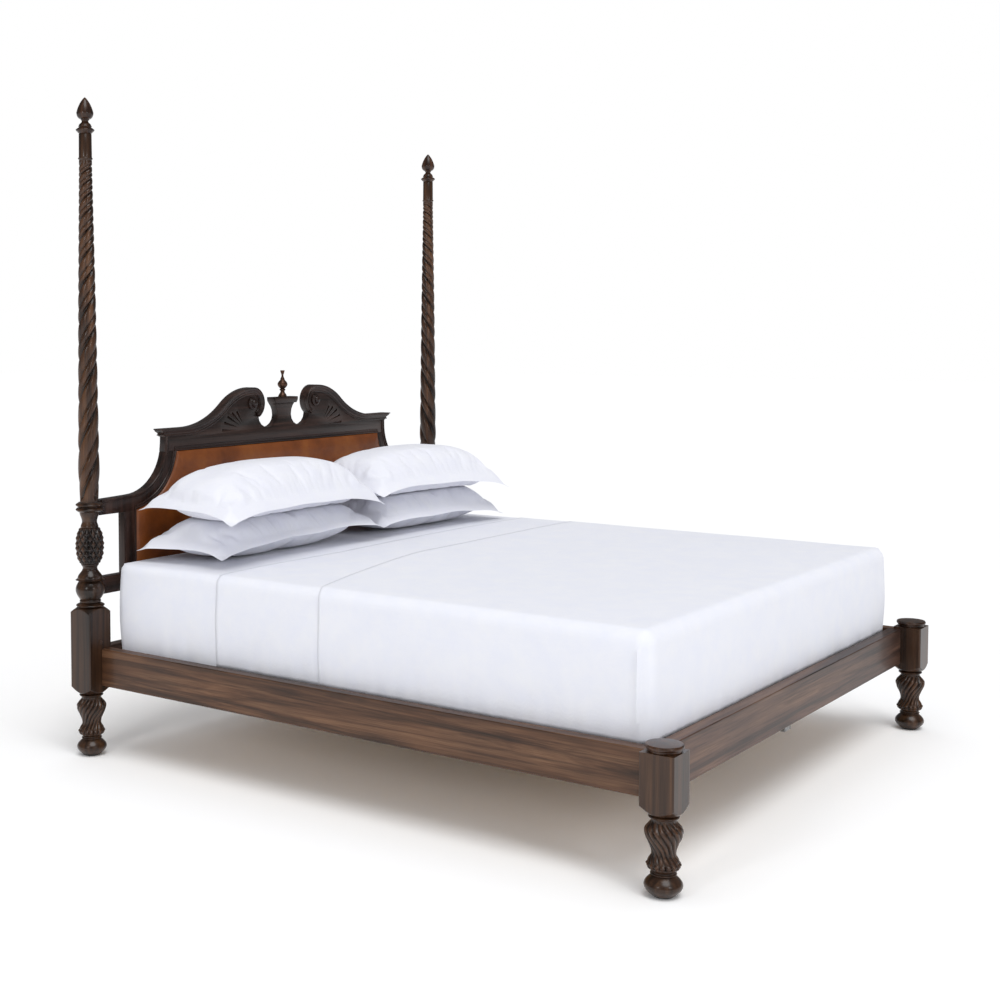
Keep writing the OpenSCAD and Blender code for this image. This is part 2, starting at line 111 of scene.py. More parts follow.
def colour(hex_code):
    """A web colour as linear numbers, which is what shaders want."""
    parts = [int(hex_code[i:i + 2], 16) / 255 for i in (1, 3, 5)]
    return tuple(p / 12.92 if p < 0.04045 else ((p + 0.055) / 1.055) ** 2.4 for p in parts) + (1,)


SURROUND, SURROUND_SEEN, SURROUND_SHINE = 0.67, 1.0, 0.16
world = bpy.data.worlds.new("studio")
world.use_nodes = True
tree = world.node_tree
glow = tree.nodes["Background"]
glow.inputs["Color"].default_value = (0.97, 0.98, 1, 1)
glow.inputs["Strength"].default_value = SURROUND
backdrop = tree.nodes.new("ShaderNodeBackground")
backdrop.inputs["Color"].default_value = (1, 1, 1, 1)
backdrop.inputs["Strength"].default_value = SURROUND_SEEN
shine = tree.nodes.new("ShaderNodeBackground")
shine.inputs["Color"].default_value = (0.97, 0.98, 1, 1)
shine.inputs["Strength"].default_value = SURROUND_SHINE
ray = tree.nodes.new("ShaderNodeLightPath")
for_shine = tree.nodes.new("ShaderNodeMixShader")
tree.links.new(ray.outputs["Is Glossy Ray"], for_shine.inputs[0])
tree.links.new(glow.outputs[0], for_shine.inputs[1])
tree.links.new(shine.outputs[0], for_shine.inputs[2])
chooser = tree.nodes.new("ShaderNodeMixShader")
tree.links.new(ray.outputs["Is Camera Ray"], chooser.inputs[0])
tree.links.new(for_shine.outputs[0], chooser.inputs[1])
tree.links.new(backdrop.outputs[0], chooser.inputs[2])
tree.links.new(chooser.outputs[0], tree.nodes["World Output"].inputs["Surface"])
scene.world = world

sun_data = bpy.data.lights.new("soft_sun", "SUN")
sun_data.energy = 1.3
sun_data.angle = radians(35)
sun = bpy.data.objects.new("soft_sun", sun_data)
scene.collection.objects.link(sun)
sun.rotation_euler = Vector((0.22, 0.34, -0.915)).to_track_quat("-Z", "Y").to_euler()
area_light("window_left", (-6.2, -0.4, 2.8), (-0.4, 0.2, 0.9), (0.5, 1.2), 34)
area_light("window_right", (-2.6, -5.4, 2.8), (-0.4, 0.2, 0.9), (0.5, 1.2), 32)

floor_mesh = bpy.data.meshes.new("studio_floor")
floor_bm = bmesh.new()
bmesh.ops.create_grid(floor_bm, x_segments=1, y_segments=1, size=40)
floor_bm.to_mesh(floor_mesh)
floor_bm.free()
floor = bpy.data.objects.new("studio_floor", floor_mesh)
scene.collection.objects.link(floor)
floor_paint = bpy.data.materials.new("studio_floor")
floor_paint.use_nodes = True
floor_paint.node_tree.nodes["Principled BSDF"].inputs["Base Color"].default_value = (0.98, 0.98, 0.98, 1)
floor_paint.node_tree.nodes["Principled BSDF"].inputs["Roughness"].default_value = 1
floor_paint.node_tree.nodes["Principled BSDF"].inputs["Specular IOR Level"].default_value = 0
floor_mesh.materials.append(floor_paint)

# %% [markdown]
# ## Wood
# The bed is stained hardwood under a satin lacquer. Grain is a noise that is
# stretched along the board, so every board gets its own grain direction. The
# carved pieces get painted shade, dark in the hollows, and a painted highlight
# on the high spots: they carry an attribute called "high", from 0 in a
# groove to 1 on a ridge, and the colour follows it.

# %% Node helpers
def new_material(name):
    """A material with its shader, and a function that adds a node and links its inputs."""
    made = bpy.data.materials.new(name)
    made.use_nodes = True
    tree = made.node_tree
    shader = tree.nodes["Principled BSDF"]

    def add(kind, settings=None, **links):
        node = tree.nodes.new("ShaderNode" + kind)
        for key, value in (settings or {}).items():
            if key in node.inputs.keys():
                node.inputs[key].default_value = value
            else:
                setattr(node, key, value)
        for key, source in links.items():
            tree.links.new(source, node.inputs[key.replace("_", " ")])
        return node

    return made, shader, add, tree.links.new


def ramp(add, source, stops):
    """A colour ramp over a grey value, from (place, colour) stops."""
    node = add("ValToRGB", Fac=source)
    band = node.color_ramp
    while len(band.elements) < len(stops):
        band.elements.new(0.5)
    for element, (place, tint) in zip(band.elements, stops):
        element.position = place
        element.color = tint
    return node.outputs["Color"]


def stretched(add, along, length_scale, cross_scale):
    """Object coordinates, squeezed along the grain so that noise draws out into fibres."""
    scale = [cross_scale] * 3
    scale["XYZ".index(along)] = length_scale
    place = add("TexCoord").outputs["Object"]
    return add("Mapping", {"Scale": scale}, Vector=place).outputs["Vector"]


# %% Wood finishes
def multiplied(add, link, base, factor, amount):
    """Two colours multiplied, by that amount."""
    mix = add("Mix", {"data_type": "RGBA", "blend_type": "MULTIPLY"})
    mix.inputs[0].default_value = amount
    link(base, mix.inputs[6])
    link(factor, mix.inputs[7])
    return mix.outputs[2]


def wood(name, along, dark, mid, light, roughness=0.4, painted_shade_and_highlight=False, streak=0.75):
    made, shader, add, link = new_material(name)
    broad = add("TexNoise", {"Scale": 1.0, "Detail": 6, "Roughness": 0.6, "Distortion": 1.1},
                Vector=stretched(add, along, 1.0, 21))
    streaks = add("TexNoise", {"Scale": 1.0, "Detail": 4, "Roughness": 0.7, "Distortion": 0.5},
                  Vector=stretched(add, along, 2.2, 75))
    fibre = add("TexNoise", {"Scale": 1.0, "Detail": 3, "Roughness": 0.6},
                Vector=stretched(add, along, 9, 430))
    cloud = add("TexNoise", {"Scale": 3.1, "Detail": 3}, Vector=add("TexCoord").outputs["Object"])
    last = ramp(add, broad.outputs["Fac"], [(0.36, colour(dark)), (0.5, colour(mid)), (0.64, colour(light))])
    lines = ramp(add, streaks.outputs["Fac"], [(0.38, (0.42, 0.38, 0.35, 1)), (0.52, (1, 1, 1, 1))])
    last = multiplied(add, link, last, lines, streak)
    shade = ramp(add, fibre.outputs["Fac"], [(0.35, (0.66, 0.63, 0.6, 1)), (0.6, (1, 1, 1, 1))])
    last = multiplied(add, link, last, shade, 0.8)
    patch = ramp(add, cloud.outputs["Fac"], [(0.35, (0.78, 0.76, 0.76, 1)), (0.65, (1.12, 1.08, 1.02, 1))])
    last = multiplied(add, link, last, patch, 0.9)
    # Painted shade in the carving's hollows and painted highlight on its high spots, driven by the "high"
    # attribute.
    if painted_shade_and_highlight:
        high = add("Attribute", {"attribute_name": "high"})
        hollow = ramp(add, high.outputs["Fac"], [(0.05, (0.12, 0.1, 0.1, 1)), (0.5, (0.8, 0.8, 0.8, 1)),
                                                 (1.0, (1.25, 1.2, 1.15, 1))])
        last = multiplied(add, link, last, hollow, 1)
    link(last, shader.inputs["Base Color"])
    sheen = add("MapRange", {"To Min": roughness - 0.07, "To Max": roughness + 0.1},
                Value=broad.outputs["Fac"])
    link(sheen.outputs["Result"], shader.inputs["Roughness"])
    bump = add("Bump", {"Strength": 0.3, "Distance": 0.0004}, Height=fibre.outputs["Fac"])
    grooves = add("Bump", {"Strength": 0.2, "Distance": 0.0008}, Height=streaks.outputs["Fac"],
                  Normal=bump.outputs["Normal"])
    link(grooves.outputs["Normal"], shader.inputs["Normal"])
    shader.inputs["Specular IOR Level"].default_value = 0.32
    shader.inputs["Coat Weight"].default_value = 0.22
    shader.inputs["Coat Roughness"].default_value = 0.16
    return made


post_wood = wood("satin_post_wood", "Z", "#21140d", "#40291b", "#553a28", 0.3)
carved_wood = wood("carved_post_wood", "Z", "#22150d", "#422c1d", "#593e2a", 0.3, painted_shade_and_highlight=True, streak=0.4)
side_wood = wood("side_rail_wood", "Y", "#35210f", "#5e3f2a", "#7a5940", 0.47)
foot_wood = wood("foot_rail_wood", "X", "#38261e", "#5c4338", "#735848", 0.47)
board_wood = wood("headboard_wood_level", "X", "#1c110c", "#32201a", "#432e26", 0.4)
upright_wood = wood("headboard_wood_upright", "Z", "#1c110c", "#32201a", "#432e26", 0.4)
print("wood finishes:", [m.name for m in bpy.data.materials if "wood" in m.name])

# %% [markdown]
# ## Other finishes
# Leather has pores and a mottled stain, so it is two noises and a Voronoi
# bump under a thin coat. Linen is nearly white, and its weave shows only as a
# fine ripple, so three sets of fine bands, one along each axis, give every
# face two crossing threads. Metals and plain pine are simpler.

# %% Leather
def leather_finish():
    made, shader, add, link = new_material("cognac_leather")
    place = add("TexCoord").outputs["Object"]
    mottle = add("TexNoise", {"Scale": 5, "Detail": 5, "Roughness": 0.6}, Vector=place)
    pores = add("TexVoronoi", {"Scale": 420, "feature": "DISTANCE_TO_EDGE"}, Vector=place)
    stain = ramp(add, mottle.outputs["Fac"],
                 [(0.3, colour("#57290b")), (0.5, colour("#7b4013")), (0.72, colour("#94561d"))])
    link(stain, shader.inputs["Base Color"])
    gloss = add("MapRange", {"To Min": 0.3, "To Max": 0.48}, Value=mottle.outputs["Fac"])
    link(gloss.outputs["Result"], shader.inputs["Roughness"])
    grain = add("Bump", {"Strength": 0.3, "Distance": 0.0005}, Height=pores.outputs["Distance"])
    creases = add("Bump", {"Strength": 0.25, "Distance": 0.003}, Height=mottle.outputs["Fac"],
                  Normal=grain.outputs["Normal"])
    link(creases.outputs["Normal"], shader.inputs["Normal"])
    shader.inputs["Specular IOR Level"].default_value = 0.4
    shader.inputs["Coat Weight"].default_value = 0.2
    shader.inputs["Coat Roughness"].default_value = 0.3
    return made


# %% Linen
def linen_finish(name, tint, threads, crease):
    made, shader, add, link = new_material(name)
    place = add("TexCoord").outputs["Object"]
    weave = None
    for axis in "XYZ":
        band = add("TexWave", {"Scale": threads, "Distortion": 0.6, "Detail": 1, "Detail Scale": 2,
                               "bands_direction": axis}, Vector=place)
        if weave is None:
            weave = band.outputs["Fac"]
        else:
            joined = add("Math", {"operation": "ADD"})
            link(weave, joined.inputs[0])
            link(band.outputs["Fac"], joined.inputs[1])
            weave = joined.outputs["Value"]
    slub = add("TexNoise", {"Scale": 14, "Detail": 6, "Roughness": 0.65}, Vector=place)
    cloth = ramp(add, slub.outputs["Fac"], [(0.25, colour(tint)), (0.75, (0.81, 0.815, 0.855, 1))])
    link(cloth, shader.inputs["Base Color"])
    matt = add("MapRange", {"To Min": 0.72, "To Max": 0.9}, Value=slub.outputs["Fac"])
    link(matt.outputs["Result"], shader.inputs["Roughness"])
    rumple = add("Bump", {"Strength": crease, "Distance": 0.004}, Height=slub.outputs["Fac"])
    fine = add("Bump", {"Strength": 0.2, "Distance": 0.0004}, Height=weave, Normal=rumple.outputs["Normal"])
    link(fine.outputs["Normal"], shader.inputs["Normal"])
    shader.inputs["Sheen Weight"].default_value = 0.15
    shader.inputs["Sheen Roughness"].default_value = 0.4
    return made


# %% Metals, pine, felt and plastic
def speckled(name, dark, light, scale, metallic, roughness, stretch=None):
    """A plain finish with its own mottle, or with brushed or sawn lines along one axis."""
    made, shader, add, link = new_material(name)
    place = stretched(add, stretch, scale / 12, scale) if stretch else add("TexCoord").outputs["Object"]
    fleck = add("TexNoise", {"Scale": 1 if stretch else scale, "Detail": 5, "Roughness": 0.6}, Vector=place)
    tone = ramp(add, fleck.outputs["Fac"], [(0.35, colour(dark)), (0.68, colour(light))])
    link(tone, shader.inputs["Base Color"])
    even = add("MapRange", {"To Min": roughness - 0.06, "To Max": roughness + 0.08},
               Value=fleck.outputs["Fac"])
    link(even.outputs["Result"], shader.inputs["Roughness"])
    bump = add("Bump", {"Strength": 0.2, "Distance": 0.0003}, Height=fleck.outputs["Fac"])
    link(bump.outputs["Normal"], shader.inputs["Normal"])
    shader.inputs["Metallic"].default_value = metallic
    return made


leather = leather_finish()
sheet_linen = linen_finish("fitted_and_top_sheet_linen", "#e2e4ee", 330, 0.1)
cover_linen = linen_finish("coverlet_linen", "#e2e4ee", 260, 0.12)
pillow_linen = linen_finish("pillow_linen", "#e3e4ee", 330, 0.12)
ticking = linen_finish("box_spring_ticking", "#cfd0d4", 160, 0.2)
bronze = speckled("dark_bronze", "#2a1d18", "#6b4c3a", 90, 0.75, 0.34)
steel = speckled("zinc_steel", "#6a6a6a", "#a4a4a4", 120, 1, 0.38)
pine = speckled("planed_pine", "#a9824e", "#d6b585", 60, 0, 0.55, stretch="X")
long_pine = speckled("planed_pine_long", "#a9824e", "#d6b585", 60, 0, 0.55, stretch="Y")
felt = speckled("glide_felt", "#101010", "#242424", 400, 0, 0.8)
print("materials made:", len(bpy.data.materials))

# %% [markdown]
# ## Pieces and edges
# Each bmesh becomes one object at the origin. Real furniture has no razor
# edges: an arris is eased by a stroke of sandpaper, and the small bevel
# catches the light. Faces are smooth except across edges sharper than 35
# degrees.

# %% Turn a bmesh into a piece
def finish_piece(name, bm, body, nodes, material, crease=35, outward=True):
    if outward:
        bmesh.ops.remove_doubles(bm, verts=bm.verts, dist=1e-6)
        bmesh.ops.recalc_face_normals(bm, faces=bm.faces)
    for face in bm.faces:
        face.smooth = True
    for edge in bm.edges:
        edge.smooth = edge.calc_face_angle(0) < radians(crease)
    mesh = bpy.data.meshes.new(name)
    bm.to_mesh(mesh)
    bm.free()
    mesh.materials.append(material)
    piece = bpy.data.objects.new(name, mesh)
    scene.collection.objects.link(piece)
    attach(piece, body)
    if nodes:
        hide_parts(*nodes)
    return piece


def axis_of(node):
    """The upright centre line of a turned CAD node."""
    low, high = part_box(node)
    return (low.x + high.x) / 2, (low.y + high.y) / 2


# %% [markdown]
# ## Turned and carved posts
# A wood turner spins a square blank and cuts an outline: beads swell out and
# coves swell in. Here the outline is spun about the post's axis. The parts
# that a carver cuts afterwards, the twisted reeds, the pineapple scales and the
# spiral, are the same surface moved in or out by a formula of the angle and the
# height, so post and carving are one closed piece. The square block is the one
# stretch that the gouge never rounded: there the radius is held to a square.

# %% Outline helpers
def run(z0, z1, r0, r1, steps, shape):
    """Points from (r0, z0) to z1, whose radius goes towards r1 as shape(t) says."""
    return [(r0 + (r1 - r0) * shape(i / steps), z0 + (z1 - z0) * i / steps) for i in range(steps + 1)]


def bead(z0, z1, r0, r1, steps=12):
    return run(z0, z1, r0, r1, steps, lambda t: sin(pi * t))


def barrel(z0, z1, r0, r1, steps):
    """Like a bead, but with full shoulders."""
    return run(z0, z1, r0, r1, steps, lambda t: sin(pi * t) ** 0.45)


def cove(z0, z1, r0, r1, steps=9):
    return run(z0, z1, r0, r1, steps, lambda t: (1 - cos(pi * t)) / 2)


def straight(r0, z0, r1, z1, steps):
    return run(z0, z1, r0, r1, steps, lambda t: t)


def fade(z, low, high, edge):
    """1 inside a stretch of height, easing to 0 at both ends."""
    t = max(0, min(1, (z - low) / edge, (high - z) / edge))
    return t * t * (3 - 2 * t)


# %% Spin and carve
def turned(outline, segments, carve=None):
    """Spins an outline of (radius, height) in mm; carve(angle, z, r) gives (new r, how high the spot is),
    which sets the carved wood's painted shade and painted highlight.
    """
    bm = bmesh.new()
    chain = [bm.verts.new((r * MM, 0, z * MM)) for r, z in outline]
    for a, b in zip(chain, chain[1:]):
        bm.edges.new((a, b))
    bmesh.ops.spin(bm, geom=bm.verts[:] + bm.edges[:], cent=(0, 0, 0), axis=(0, 0, 1), angle=2 * pi,
                   steps=segments, use_merge=True)
    bmesh.ops.remove_doubles(bm, verts=bm.verts, dist=1e-6)
    bmesh.ops.dissolve_degenerate(bm, edges=bm.edges, dist=1e-7)
    if carve:
        high = bm.verts.layers.float.new("high")
        for vert in bm.verts:
            r = math.hypot(vert.co.x, vert.co.y)
            if r < 1e-6:
                continue
            new_r, vert[high] = carve(math.atan2(vert.co.y, vert.co.x), vert.co.z / MM, r / MM)
            vert.co.x *= new_r * MM / r
            vert.co.y *= new_r * MM / r
    bmesh.ops.recalc_face_normals(bm, faces=bm.faces)
    return bm


def stand(bm, node):
    """Moves a spun shape onto the axis of its CAD node."""
    x, y = axis_of(node)
    bmesh.ops.translate(bm, verts=bm.verts, vec=(x, y, 0))
    return bm


# %% The carver's cuts
REED_N = 16
REED_TWIST = 0.0135
BLOCK_HALF = 49
SCALE_N, SCALE_ROWS = 11, 3.6


def reeds(angle, z, r, hand, z0, z1, twist_from):
    """Rounded reeds with sharp valleys that twist round a vase."""
    swing = hand * REED_TWIST * max(0, z - twist_from)
    ridge = abs(cos(REED_N / 2 * (angle + swing)))
    cut = fade(z, z0, z1, 9)
    return r * (1 - 0.13 * (1 - ridge ** 0.8) * cut), 0.5 + (ridge - 0.45) * cut


def held_square(angle, r):
    """The flat sides of the block, with its arris taken off by a hair."""
    side = BLOCK_HALF / max(abs(cos(angle)), abs(sin(angle)))
    return min(r, side, BLOCK_HALF * 1.395)


def scales(angle, z, r, z0, z1):
    """Pineapple scales: a lattice of small pyramids."""
    u = angle * SCALE_N / (2 * pi)
    w = SCALE_ROWS * (z - z0) / (z1 - z0)
    p, q = (u + w) % 1, (u - w) % 1
    peak = 2 * min(p, 1 - p, q, 1 - q)
    cut = fade(z, z0, z1, 10)
    return r * (1 - cut * (0.17 - 0.19 * peak ** 0.7)), 0.5 + cut * (peak - 0.5)


def leg_carving(hand):
    def carve(angle, z, r):
        if 66 < z < 92:
            return reeds(angle, z, r, hand, 72, 96, 90)
        if 92 <= z < 206:
            return reeds(angle, z, r, hand, 88, 204, 90)
        if 219 < z < 516:
            return held_square(angle, r), 0.55
        if 665 < z < 800:
            return scales(angle, z, r, 667, 797)
        return r, 0.55
    return carve


# %% Post outlines, from the floor up
LEG = ([(0, 4), (30, 4)] + bead(4, 56, 32, 51, 16) + bead(57, 64, 31, 35, 6) + cove(65, 79, 31, 44, 8)
       + bead(80, 90, 43, 46.5, 8) + cove(91, 113, 42, 32.5, 10) + cove(114, 173, 32.5, 51, 24)
       + cove(174, 204, 51, 33, 14) + bead(205, 217, 33, 41, 8) + [(40, 219)])


def block_outline(top, cut_top):
    """The block's blank: a cone that turns its corners away at the bottom and, on a head post, at the top."""
    corner = 71
    outline = straight(44, 219.5, corner, 243, 12)
    if cut_top:
        return outline + [(corner, 260)] + straight(corner, top - 14, 46, top + 4, 10) + [(40, top + 4)]
    return outline + [(corner, 260), (corner, top - 1), (corner - 2, top)]


HEAD_TOP = (bead(518, 531, 39, 49, 10) + bead(532, 545, 34, 37, 6) + bead(546, 612, 36, 50, 20)
            + [(50, 613), (43, 618)] + cove(619, 654, 43, 25, 12) + cove(655, 668, 25, 31, 6)
            + barrel(669, 794, 30, 49.5, 60)
            + cove(795, 815, 31, 26, 8) + cove(816, 848, 26, 34, 10) + bead(849, 865, 38, 47, 10)
            + bead(866, 881, 38, 47, 10) + [(38, 882), (0, 882)])
print("head post outline points:", len(LEG) + len(HEAD_TOP))

# %% Head posts
for side, sign in SIDES.items():
    outline = LEG + block_outline(513, True) + HEAD_TOP
    post = stand(turned(outline, 140, leg_carving(sign)), "post_finial_" + side)
    finish_piece("turned_head_post_" + side, post, "bed_frame", ["head_post_" + side],
                 carved_wood, 50)

# %% Foot posts, with the bore that the cap's tenon drops into
TENON_BORE_R, TENON_FLOOR = 15.05, 339
for side, sign in SIDES.items():
    outline = LEG + block_outline(382, False)
    outline += [(TENON_BORE_R, 382), (TENON_BORE_R, TENON_FLOOR), (0, TENON_FLOOR)]
    post = stand(turned(outline, 140, leg_carving(-sign)), "foot_cap_" + side)
    finish_piece("turned_foot_post_" + side, post, "bed_frame", ["foot_post_" + side],
                 carved_wood, 50)

# %% [markdown]
# ## Spiral shafts
# The shafts taper, and their spiral tightens as they rise, as it does on a rope
# that is pulled out of a cone. Two pairs of strands run round: a wide one and
# a narrow one, with a deep groove before the narrow one and a thin cut after
# it. The two posts are a pair, so one turns left and the other right.

# %% Shafts
SHAFT_BOTTOM, SHAFT_TOP = 882, 2144
TURN_AT_START, TURN_SHRINK = 205, 0.15


def dip_in(t, centre, half):
    """A smooth hollow around a place on a scale that wraps at 1."""
    away = abs((t - centre + 0.5) % 1 - 0.5)
    return 0.5 * (1 + cos(pi * away / half)) if away < half else 0.0


def spiral_cut(hand):
    def carve(angle, z, r):
        phase = -math.log(TURN_AT_START - TURN_SHRINK * (z - 900)) / TURN_SHRINK
        t = (hand * angle / pi + phase) % 1
        cut = fade(z, 886, 2050, 16)
        wide, narrow = abs(t - 0.27) / 0.29, abs(t - 0.79) / 0.19
        crown = min(1, wide * wide, narrow * narrow)
        depth = 0.24 * dip_in(t, 0.585, 0.14) + 0.13 * dip_in(t, 0.99, 0.08) + 0.1 * crown
        return r * (1.03 - cut * depth), 0.6 - cut * (2.6 * depth - 0.4)
    return carve


PIN_BORE_R, PIN_FLOOR = 5.05, 2109
shaft_outline = ([(0, SHAFT_BOTTOM)] + cove(SHAFT_BOTTOM, 993, 30.6, 35.8, 28)
                 + straight(35.8, 997, 29, 1581, 146) + straight(29, 1585, 21.4, 2050, 130)
                 + [(21, 2055)] + bead(2056, 2064, 21.5, 24.3, 10) + [(21.5, 2065), (21, 2143)]
                 + [(20, SHAFT_TOP), (PIN_BORE_R, SHAFT_TOP), (PIN_BORE_R, PIN_FLOOR), (0, PIN_FLOOR)])
for side, sign in SIDES.items():
    shaft = stand(turned(shaft_outline, 84, spiral_cut(sign)), "post_finial_" + side)
    finish_piece("spiral_shaft_" + side, shaft, "bed_frame", ["head_shaft_" + side],
                 carved_wood, 50)

# %% [markdown]
# ## Finials and caps
# The finials lift off on a pin, and the foot posts' caps on a tenon, so that a
# canopy could be fitted. They are plain turnings: an outline and a spin.

# %% Finials, caps and rosettes
def onion(z0, z1, r, steps=26):
    """The pointed flame at the top: full at the shoulder, drawn out to a tip."""
    ts = [i / steps for i in range(steps + 1)]
    return [(max(0.4, r * (1 - t) ** 0.8 * (1 + 0.35 * t)), z0 + (z1 - z0) * t) for t in ts]


F = SHAFT_TOP
flame_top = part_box("post_finial_left")[1].z / MM
finial_outline = ([(0, F), (20, F), (21, F + 0.6), (30.5, F + 10.4), (31.6, F + 12), (31.6, F + 13.5)]
                  + [(30.5, F + 15), (23.5, F + 20), (21.5, F + 21)] + bead(F + 22, F + 28, 21, 22.5, 6)
                  + cove(F + 29, F + 42, 20.5, 11.3)
                  + cove(F + 43, F + 49, 11.3, 15)
                  + [(15 + 13.7 * sin(a * pi / 16), F + 72 - 22 * cos(a * pi / 16)) for a in range(8)]
                  + onion(F + 72, flame_top, 28.7) + [(0, flame_top)])
cap_outline = ([(0, 342), (13.5, 342), (15, 343.5), (15, 382)]
               + [(44, 382), (45.5, 382.6), (46, 384), (46, 388.5), (48, 390)]
               + bead(391, 401, 49, 51, 14) + [(48.6, 401.7), (47, 402), (0, 402)])
for side, sign in SIDES.items():
    flame = stand(turned(finial_outline, 72), "post_finial_" + side)
    finish_piece("flame_finial_" + side, flame, "finial_" + side, ["post_finial_" + side],
                 post_wood, 50)
    cap = stand(turned(cap_outline, 96), "foot_cap_" + side)
    finish_piece("post_cap_" + side, cap, "cap_" + side, ["foot_cap_" + side],
                 post_wood, 40)

# %% Plinth finial of dark bronze
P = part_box("plinth_finial")[0].z / MM
plinth_outline = ([(0, P), (19, P), (19, P + 1.5)] + cove(P + 2, P + 22, 17, 8, 12)
                  + bead(P + 23, P + 32, 8, 12, 10) + bead(P + 33, P + 66, 10, 20, 22)
                  + cove(P + 67, P + 84, 9, 4, 10) + cove(P + 85, P + 103, 4, 8.5, 10)
                  + [(8.5, P + 105), (6.5, P + 105), (5, P + 100), (0, P + 98)])
knob = stand(turned(plinth_outline, 56), "plinth_finial")
finish_piece("bronze_finial", knob, "bed_frame", ["plinth_finial"], bronze, 40)
print("turned pieces done")

# %% [markdown]
# ## Boards
# Rails and headboard boards are sawn, planed and eased. The CAD node already
# has the right outline, so a copy of its mesh is merged into clean faces and
# its long edges get a small bevel, which stops short of the posts.

# %% Clean copy of a CAD board
def board_copy(node):
    bm = bmesh.new()
    bm.from_mesh(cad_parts[node].data)
    bmesh.ops.remove_doubles(bm, verts=bm.verts, dist=1e-5)
    bmesh.ops.dissolve_limit(bm, angle_limit=radians(0.5), verts=bm.verts, edges=bm.edges)
    return bm


def ease(bm, width, sharper_than=40, inside=9):
    """Bevels the sharp outer edges of a board, in mm, as far out from the middle as inside says."""
    edges = [e for e in bm.edges if e.is_manifold and e.calc_face_angle(0) > radians(sharper_than)
             and all(abs(v.co.x) < inside for v in e.verts)]
    bmesh.ops.bevel(bm, geom=edges, offset=width * MM, offset_type="OFFSET", segments=2, profile=0.5,
                    affect="EDGES", clamp_overlap=True, material=-1)
    return bm


def board_piece(name, bm, nodes, material, crease=35):
    """A piece of the headboard, which is part of the frame's body."""
    return finish_piece(name, bm, "bed_frame", nodes, material, crease)


# %% Headboard boards
POST_EDGE = 0.965
for side in SIDES:
    stile = ease(board_copy("headboard_stile_" + side), 1.5)
    board_piece("stile_" + side, stile, ["headboard_stile_" + side], upright_wood)
    shoulder = ease(board_copy("headboard_shoulder_" + side), 1.5, inside=POST_EDGE)
    board_piece("curved_shoulder_" + side, shoulder, ["headboard_shoulder_" + side], upright_wood)
plinth = ease(board_copy("plinth_cap"), 1.2, 25)
board_piece("moulded_plinth", plinth, ["plinth_cap"], board_wood)

# %% Rosettes: a ball in a dish, at the eye of each scroll
BALL_R, BALL_HIGH, BALL_FROM = 15, 12, 11
ROSETTE = [(0, 0), (24, 0), (24, 5), (23, 6.5), (21, 7)] + cove(7.5, BALL_FROM, 19.5, 15.5, 5)
ROSETTE += [(BALL_R * cos(a * pi / 24), BALL_FROM + BALL_HIGH * sin(a * pi / 24)) for a in range(13)]
for side in SIDES:
    low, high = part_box("rosette_" + side)
    ball = turned(ROSETTE, 40)
    bmesh.ops.rotate(ball, verts=ball.verts, cent=(0, 0, 0), matrix=Matrix.Rotation(pi / 2, 3, "X"))
    bmesh.ops.translate(ball, verts=ball.verts, vec=((low.x + high.x) / 2, high.y, (low.z + high.z) / 2))
    board_piece("scroll_rosette_" + side, ball, ["rosette_" + side], board_wood, 40)

# %% Finishes on the CAD boards that stay
for node, finish in {
    "side_rail_left": side_wood, "side_rail_right": side_wood, "foot_rail": foot_wood, "head_rail": foot_wood,
    "headboard_lower_rail": board_wood, "bolt_plugs": post_wood,
    "side_cleat_left": long_pine, "side_cleat_right": long_pine, "slats": pine, "centre_beam": long_pine,
    "centre_leg_front": pine, "centre_leg_rear": pine, "panel_backing": pine,
    "shaft_stud_left": steel, "shaft_stud_right": steel, "finial_pin_left": steel, "finial_pin_right": steel,
    "beam_brackets": steel, "leg_bolts": steel, "hook_plates": steel, "slot_plates": steel,
    "plate_screws": steel, "cleat_screws": steel, "glides": felt,
}.items():
    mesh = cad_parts[node].data
    mesh.materials.clear()
    mesh.materials.append(finish)
print("boards done")

# %% [markdown]
# ## Pediment
# The swan-neck top is one board, sawn to a double curve, with a fan of five
# tapering flutes chopped into each side. A Boolean takes the flutes out: each
# cutter is a slim three-sided pyramid laid flat on the face, shallow at the
# fan's root and wide at its rim.

# %% Fan cutters
FAN_X, FAN_Z = 230, 1088
FAN_ANGLES = (3, 16, 29, 42, 55)
FAN_LENGTHS = (128, 122, 112, 98, 84)
board_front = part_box("pediment_board")[0].y


def fan_cutters():
    bm = bmesh.new()
    for sign in SIDES.values():
        for angle, length in zip(FAN_ANGLES, FAN_LENGTHS):
            made = bmesh.ops.create_cone(bm, cap_ends=True, segments=3, radius1=10.5 * MM, radius2=0.3 * MM,
                                         depth=length * MM)
            place = (Matrix.Translation((sign * FAN_X * MM, board_front - 2 * MM, FAN_Z * MM))
                     @ Matrix.Rotation(sign * radians(90 - angle), 4, "Y")
                     @ Matrix.Translation((0, 0, (length / 2 + 9) * MM))
                     @ Matrix.Rotation(pi, 4, "X") @ Matrix.Scale(0.75, 4, (0, 1, 0))
                     @ Matrix.Rotation(radians(90), 4, "Z"))
            bmesh.ops.transform(bm, matrix=place, verts=made["verts"])
    bmesh.ops.recalc_face_normals(bm, faces=bm.faces)
    mesh = bpy.data.meshes.new("fan_cutters")
    bm.to_mesh(mesh)
    bm.free()
    return bpy.data.objects.new("fan_cutters", mesh)


